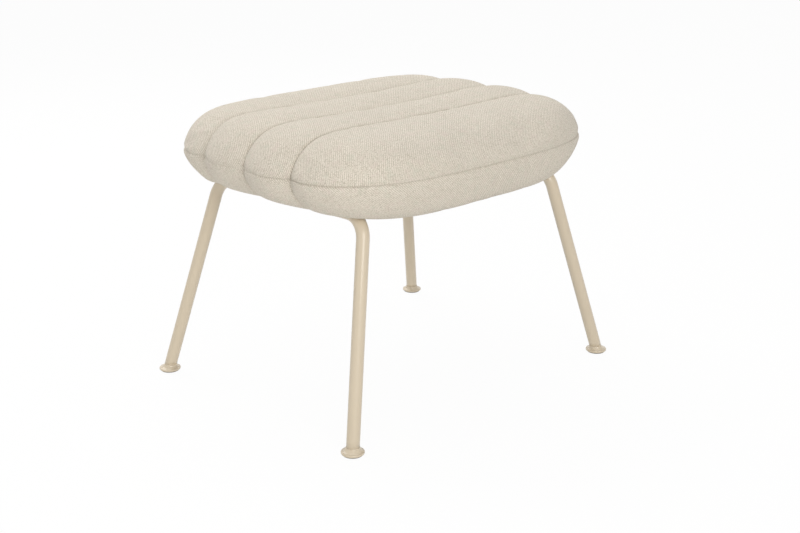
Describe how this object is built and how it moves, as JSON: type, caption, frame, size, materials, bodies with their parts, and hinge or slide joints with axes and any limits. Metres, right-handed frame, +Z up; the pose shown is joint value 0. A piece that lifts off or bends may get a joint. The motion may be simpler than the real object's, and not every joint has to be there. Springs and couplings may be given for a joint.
{
  "type": "footstool",
  "caption": "Upholstered footstool with a channelled oval-cornered cushion on bent steel tube hoops with round flange feet.",
  "frame": {"origin": "on the floor, in the middle of the four feet and under the middle of the cushion", "axes": "+Z up, +X along the channels and the long side, +Y across the channels along the short side"},
  "size_m": [0.5836, 0.4642, 0.4295],
  "materials": {
    "upholstery": "coarse heathered plain weave, warm beige, matt",
    "foam": "cream polyurethane foam",
    "plywood": "raw birch plywood",
    "dust_cloth": "black non-woven cloth",
    "coated_steel": "satin powder coat, cream beige",
    "zinc": "bright zinc plate",
    "glide": "moulded nylon, matt"
  },
  "bodies": {
    "root": {"cover_top_1": "upholstery", "channel_foam_1": "foam", "cover_top_2": "upholstery", "channel_foam_2": "foam", "cover_top_3": "upholstery", "channel_foam_3": "foam", "cover_top_4": "upholstery", "channel_foam_4": "foam", "cover_side_1": "upholstery", "cover_side_4": "upholstery", "cover_end_a2": "upholstery", "cover_end_a3": "upholstery", "cover_end_b2": "upholstery", "cover_end_b3": "upholstery", "foam_base": "foam", "seat_board": "plywood", "dust_cover": "dust_cloth", "leg_hoop_a": "coated_steel", "leg_hoop_b": "coated_steel", "glide_a1": "glide", "foot_disc_a1": "coated_steel", "mounting_plate_a1": "coated_steel", "glide_a4": "glide", "foot_disc_a4": "coated_steel", "mounting_plate_a4": "coated_steel", "glide_b1": "glide", "foot_disc_b1": "coated_steel", "mounting_plate_b1": "coated_steel", "glide_b4": "glide", "foot_disc_b4": "coated_steel", "mounting_plate_b4": "coated_steel", "screw_1": "zinc", "tee_nut_1": "zinc", "screw_2": "zinc", "tee_nut_2": "zinc", "screw_3": "zinc", "tee_nut_3": "zinc", "screw_4": "zinc", "tee_nut_4": "zinc", "screw_5": "zinc", "tee_nut_5": "zinc", "screw_6": "zinc", "tee_nut_6": "zinc", "screw_7": "zinc", "tee_nut_7": "zinc", "screw_8": "zinc", "tee_nut_8": "zinc"}
  },
  "joints": []
}
